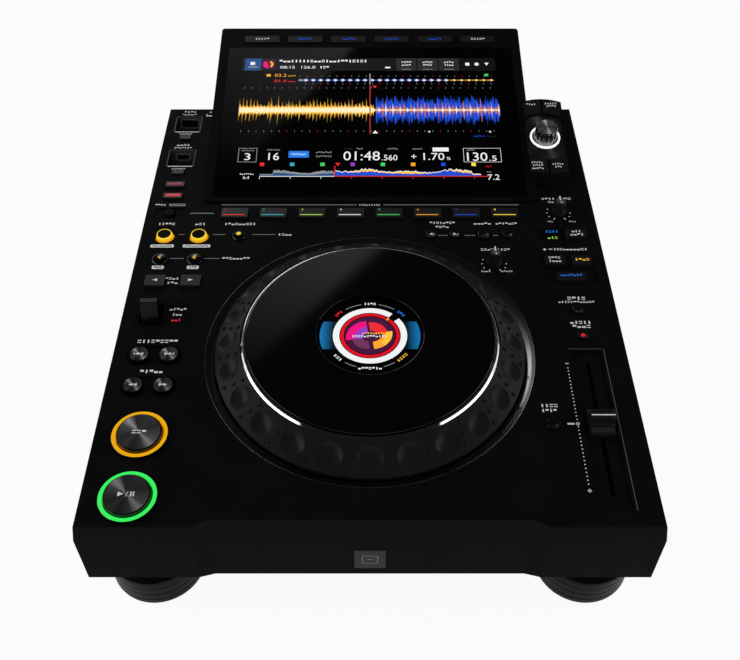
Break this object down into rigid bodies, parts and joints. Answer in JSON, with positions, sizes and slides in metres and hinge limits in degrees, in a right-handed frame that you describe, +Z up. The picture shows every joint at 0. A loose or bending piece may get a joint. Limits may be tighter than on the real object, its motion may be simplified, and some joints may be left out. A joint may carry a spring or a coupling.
{
  "type": "tabletop dj media player",
  "caption": "Tabletop music player for disc jockeys: flat case on round feet with a large jog wheel, tilted touch display, pads, round and square buttons, tempo fader and storage sockets.",
  "frame": {"origin": "middle of the outline, seen from above, on the surface that the feet stand on", "axes": "+X to the player's right, +Y from the front face to the display, +Z up"},
  "size_m": [0.329, 0.4664, 0.1182],
  "materials": {
    "case_plastic": "fine matte grain",
    "gloss_plastic": "gloss black",
    "key_plastic": "satin black",
    "tray_steel": "black painted sheet steel",
    "trim_chrome": "bright",
    "brushed_metal": "spun, with radial sheen",
    "orange_light": "lit translucent plastic",
    "green_light": "lit translucent plastic",
    "red_key": "lit translucent plastic",
    "white_light": "lit translucent plastic",
    "circuit_board": "lacquered board",
    "foot_rubber": "moulded black",
    "display_glass": "clear cover glass",
    "display_panel": "lit display"
  },
  "bodies": {
    "player": {"top_cover": "case_plastic", "front_window": "gloss_plastic", "bottom_chassis": "tray_steel", "front_foot_left": "foot_rubber", "front_foot_right": "foot_rubber", "rear_foot_left": "foot_rubber", "rear_foot_right": "foot_rubber", "jog_base": "gloss_plastic", "jog_display": "gloss_plastic", "cue_light_ring": "orange_light", "play_light_ring": "green_light", "lever_bezel": "gloss_plastic", "fader_plate": "case_plastic", "fader_track": "tray_steel", "storage_sockets": "key_plastic", "display_housing": "case_plastic", "display_frame": "case_plastic", "display_glass": "display_glass", "display_panel": "display_panel", "selector_housing": "case_plastic", "selector_plate": "brushed_metal", "selector_light_ring": "white_light", "main_board": "circuit_board", "power_supply": "circuit_board", "socket_board": "circuit_board"},
    "jog": {"jog_wheel": "key_plastic", "jog_trim_ring": "trim_chrome", "jog_disc": "gloss_plastic"},
    "play_button": {"play_button": "brushed_metal"},
    "cue_button": {"cue_button": "brushed_metal"},
    "tempo_fader": {"tempo_fader": "key_plastic"},
    "direction_lever": {"direction_lever": "key_plastic"},
    "selector_shaft": {"selector_shaft": "tray_steel"},
    "selector_knob": {"selector_knob": "brushed_metal"},
    "speed_knob": {"speed_knob": "key_plastic"},
    "feel_knob": {"feel_knob": "key_plastic"},
    "search_back_button": {"search_back_button": "brushed_metal"},
    "search_forward_button": {"search_forward_button": "brushed_metal"},
    "track_back_button": {"track_back_button": "brushed_metal"},
    "track_forward_button": {"track_forward_button": "brushed_metal"},
    "loop_in_button": {"loop_in_button": "orange_light"},
    "loop_out_button": {"loop_out_button": "orange_light"},
    "reloop_button": {"reloop_button": "gloss_plastic"},
    "beat_loop_buttons": {"beat_loop_buttons": "gloss_plastic"},
    "beat_jump_keys": {"beat_jump_keys": "key_plastic"},
    "hot_cue_pad_a": {"hot_cue_pad_a": "key_plastic"},
    "hot_cue_pad_b": {"hot_cue_pad_b": "key_plastic"},
    "hot_cue_pad_c": {"hot_cue_pad_c": "key_plastic"},
    "hot_cue_pad_d": {"hot_cue_pad_d": "key_plastic"},
    "hot_cue_pad_e": {"hot_cue_pad_e": "key_plastic"},
    "hot_cue_pad_f": {"hot_cue_pad_f": "key_plastic"},
    "hot_cue_pad_g": {"hot_cue_pad_g": "key_plastic"},
    "hot_cue_pad_h": {"hot_cue_pad_h": "key_plastic"},
    "media_keys": {"media_keys": "red_key"},
    "call_button": {"call_button": "key_plastic"},
    "memory_buttons": {"memory_buttons": "key_plastic"},
    "sync_keys": {"sync_keys": "key_plastic"},
    "tempo_buttons": {"tempo_buttons": "key_plastic"},
    "menu_keys": {"menu_keys": "key_plastic"},
    "selector_keys": {"selector_keys": "key_plastic"}
  },
  "joints": [
    {"name": "jog_spin", "type": "hinge", "parent": "player", "child": "jog", "pos_m": [0, -0.09695, 0.092], "axis": [0, 0, 1], "continuous": true},
    {"name": "play_press", "type": "slide", "parent": "player", "child": "play_button", "axis": [0, 0, -1], "range_m": [0, 0.0015], "stiffness_N_per_m": 400, "springref_m": -0.0005},
    {"name": "cue_press", "type": "slide", "parent": "player", "child": "cue_button", "axis": [0, 0, -1], "range_m": [0, 0.0015], "stiffness_N_per_m": 400, "springref_m": -0.0005},
    {"name": "tempo_slide", "type": "slide", "parent": "player", "child": "tempo_fader", "axis": [0, 1, 0], "range_m": [-0.047, 0.047]},
    {"name": "direction_tilt", "type": "hinge", "parent": "player", "child": "direction_lever", "pos_m": [-0.14505, -0.06635, 0.0779], "axis": [1, 0, 0], "range_deg": [-12, 12]},
    {"name": "selector_press", "type": "slide", "parent": "player", "child": "selector_shaft", "axis": [0, 0.1754, -0.9845], "range_m": [0, 0.001], "stiffness_N_per_m": 400, "springref_m": -0.0005},
    {"name": "selector_turn", "type": "hinge", "parent": "selector_shaft", "child": "selector_knob", "pos_m": [0.13505, 0.10565, 0.1017], "axis": [0, -0.1754, 0.9845], "continuous": true},
    {"name": "speed_turn", "type": "hinge", "parent": "player", "child": "speed_knob", "pos_m": [0.1386, 0.03615, 0.09], "axis": [0, 0, 1], "range_deg": [-150, 150]},
    {"name": "feel_turn", "type": "hinge", "parent": "player", "child": "feel_knob", "pos_m": [0.08662, -0.01785, 0.09], "axis": [0, 0, 1], "range_deg": [-150, 150]},
    {"name": "search_back_press", "type": "slide", "parent": "player", "child": "search_back_button", "axis": [0, 0, -1], "range_m": [0, 0.0015], "stiffness_N_per_m": 400, "springref_m": -0.0005},
    {"name": "search_forward_press", "type": "slide", "parent": "player", "child": "search_forward_button", "axis": [0, 0, -1], "range_m": [0, 0.0015], "stiffness_N_per_m": 400, "springref_m": -0.0005},
    {"name": "track_back_press", "type": "slide", "parent": "player", "child": "track_back_button", "axis": [0, 0, -1], "range_m": [0, 0.0015], "stiffness_N_per_m": 400, "springref_m": -0.0005},
    {"name": "track_forward_press", "type": "slide", "parent": "player", "child": "track_forward_button", "axis": [0, 0, -1], "range_m": [0, 0.0015], "stiffness_N_per_m": 400, "springref_m": -0.0005},
    {"name": "loop_in_press", "type": "slide", "parent": "player", "child": "loop_in_button", "axis": [0, 0, -1], "range_m": [0, 0.0015], "stiffness_N_per_m": 400, "springref_m": -0.0005},
    {"name": "loop_out_press", "type": "slide", "parent": "player", "child": "loop_out_button", "axis": [0, 0, -1], "range_m": [0, 0.0015], "stiffness_N_per_m": 400, "springref_m": -0.0005},
    {"name": "reloop_press", "type": "slide", "parent": "player", "child": "reloop_button", "axis": [0, 0, -1], "range_m": [0, 0.0015], "stiffness_N_per_m": 400, "springref_m": -0.0005},
    {"name": "beat_loop_press", "type": "slide", "parent": "player", "child": "beat_loop_buttons", "axis": [0, 0, -1], "range_m": [0, 0.0015], "stiffness_N_per_m": 400, "springref_m": -0.0005},
    {"name": "beat_jump_press", "type": "slide", "parent": "player", "child": "beat_jump_keys", "axis": [0, 0, -1], "range_m": [0, 0.0015], "stiffness_N_per_m": 400, "springref_m": -0.0005},
    {"name": "pad_a_press", "type": "slide", "parent": "player", "child": "hot_cue_pad_a", "axis": [0, 0, -1], "range_m": [0, 0.0015], "stiffness_N_per_m": 400, "springref_m": -0.0005},
    {"name": "pad_b_press", "type": "slide", "parent": "player", "child": "hot_cue_pad_b", "axis": [0, 0, -1], "range_m": [0, 0.0015], "stiffness_N_per_m": 400, "springref_m": -0.0005},
    {"name": "pad_c_press", "type": "slide", "parent": "player", "child": "hot_cue_pad_c", "axis": [0, 0, -1], "range_m": [0, 0.0015], "stiffness_N_per_m": 400, "springref_m": -0.0005},
    {"name": "pad_d_press", "type": "slide", "parent": "player", "child": "hot_cue_pad_d", "axis": [0, 0, -1], "range_m": [0, 0.0015], "stiffness_N_per_m": 400, "springref_m": -0.0005},
    {"name": "pad_e_press", "type": "slide", "parent": "player", "child": "hot_cue_pad_e", "axis": [0, 0, -1], "range_m": [0, 0.0015], "stiffness_N_per_m": 400, "springref_m": -0.0005},
    {"name": "pad_f_press", "type": "slide", "parent": "player", "child": "hot_cue_pad_f", "axis": [0, 0, -1], "range_m": [0, 0.0015], "stiffness_N_per_m": 400, "springref_m": -0.0005},
    {"name": "pad_g_press", "type": "slide", "parent": "player", "child": "hot_cue_pad_g", "axis": [0, 0, -1], "range_m": [0, 0.0015], "stiffness_N_per_m": 400, "springref_m": -0.0005},
    {"name": "pad_h_press", "type": "slide", "parent": "player", "child": "hot_cue_pad_h", "axis": [0, 0, -1], "range_m": [0, 0.0015], "stiffness_N_per_m": 400, "springref_m": -0.0005},
    {"name": "media_press", "type": "slide", "parent": "player", "child": "media_keys", "axis": [0, 0, -1], "range_m": [0, 0.001], "stiffness_N_per_m": 400, "springref_m": -0.0005},
    {"name": "call_press", "type": "slide", "parent": "player", "child": "call_button", "axis": [0, 0, -1], "range_m": [0, 0.001], "stiffness_N_per_m": 400, "springref_m": -0.0005},
    {"name": "memory_press", "type": "slide", "parent": "player", "child": "memory_buttons", "axis": [0, 0, -1], "range_m": [0, 0.001], "stiffness_N_per_m": 400, "springref_m": -0.0005},
    {"name": "sync_press", "type": "slide", "parent": "player", "child": "sync_keys", "axis": [0, 0, -1], "range_m": [0, 0.001], "stiffness_N_per_m": 400, "springref_m": -0.0005},
    {"name": "tempo_press", "type": "slide", "parent": "player", "child": "tempo_buttons", "axis": [0, 0, -1], "range_m": [0, 0.001], "stiffness_N_per_m": 400, "springref_m": -0.0005},
    {"name": "menu_press", "type": "slide", "parent": "player", "child": "menu_keys", "axis": [0, 0.1754, -0.9845], "range_m": [0, 0.001], "stiffness_N_per_m": 400, "springref_m": -0.0005},
    {"name": "selector_key_press", "type": "slide", "parent": "player", "child": "selector_keys", "axis": [0, 0.1754, -0.9845], "range_m": [0, 0.001], "stiffness_N_per_m": 400, "springref_m": -0.0005}
  ]
}
